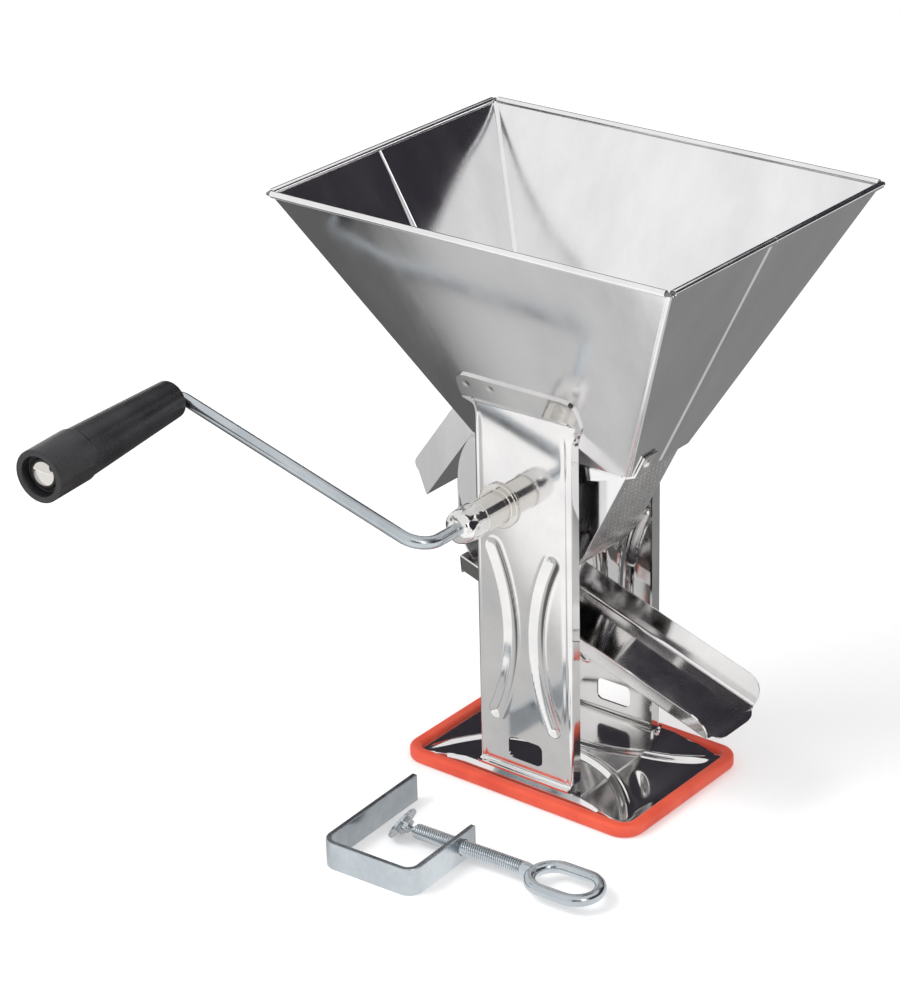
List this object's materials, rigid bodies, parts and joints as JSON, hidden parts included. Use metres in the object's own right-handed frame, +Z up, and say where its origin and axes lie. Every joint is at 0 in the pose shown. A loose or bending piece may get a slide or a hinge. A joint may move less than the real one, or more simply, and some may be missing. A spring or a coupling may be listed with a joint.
{
  "type": "tomato strainer",
  "caption": "Hand-cranked strainer: a flared sheet-metal hopper on slotted side panels over a rotor, a sieve, a waste slide and a juice chute, with its loose screw clamp.",
  "frame": {"origin": "middle of the base on the table, in the plane of the rubber rim's underside", "axes": "+Z up, +X towards the juice chute's mouth, -Y towards the crank"},
  "size_m": [0.3002, 0.3093, 0.3156],
  "materials": {
    "polished_steel": "mirror-polished stainless sheet",
    "nickel": "bright nickel plate",
    "wire": "plain steel wire",
    "zinc": "bright zinc plate",
    "nylon": "food-grade nylon",
    "black_plastic": "satin black",
    "red_rubber": "smooth red rubber"
  },
  "bodies": {
    "stand": {"rubber_rim": "red_rubber", "base_plate": "polished_steel", "near_side_panel": "polished_steel", "far_side_panel": "polished_steel", "hopper_near_half": "polished_steel", "hopper_far_half": "polished_steel", "rim_wire": "wire", "near_press_cheek": "polished_steel", "far_press_cheek": "polished_steel", "sieve_plate": "polished_steel", "sieve_rivet": "nickel", "rear_casing": "polished_steel", "splash_back": "polished_steel", "waste_slide": "polished_steel", "juice_chute": "polished_steel", "near_bearing_sleeve": "nickel", "far_bearing_bush": "nickel"},
    "crank": {"rotor_shaft": "nickel", "shaft_clip": "wire", "roller_core": "nylon", "paddle_1": "polished_steel", "paddle_2": "polished_steel", "paddle_3": "polished_steel", "paddle_4": "polished_steel", "crank_hub": "nickel", "crank_rod": "zinc", "grip_dome": "nickel"},
    "grip": {"grip_sleeve": "black_plastic"},
    "clamp": {"clamp_frame": "zinc"},
    "swivel": {"screw_ball": "zinc"},
    "screw": {"clamp_screw": "zinc"},
    "pad": {"pressure_pad": "zinc"}
  },
  "joints": [
    {"name": "crank_turn", "type": "hinge", "parent": "stand", "child": "crank", "pos_m": [-0.0135, 0, 0.1588], "axis": [0, 1, 0], "range_deg": [-68, 217]},
    {"name": "grip_spin", "type": "hinge", "parent": "crank", "child": "grip", "pos_m": [-0.17058, -0.1008, 0.20118], "axis": [0.0875, -0.9959, -0.0236], "continuous": true},
    {"name": "clamp_clear", "type": "slide", "parent": "stand", "child": "clamp", "axis": [0, -1, 0], "range_m": [0, 0.2]},
    {"name": "screw_travel", "type": "slide", "parent": "clamp", "child": "swivel", "axis": [0.9989, 0.0471, 0], "range_m": [-0.009, 0.024]},
    {"name": "screw_turn", "type": "hinge", "parent": "swivel", "child": "screw", "pos_m": [-0.01885, -0.11353, 0.0075], "axis": [0.9989, 0.0471, 0], "range_deg": [-2600, 6920]},
    {"name": "pad_tilt", "type": "hinge", "parent": "swivel", "child": "pad", "pos_m": [-0.01885, -0.11353, 0.0075], "axis": [-0.0471, 0.9989, 0], "range_deg": [-70, 10]}
  ],
  "couplings": [
    {"joint": "screw_turn", "follows": "screw_travel", "rad_per_m": 5026.5}
  ]
}
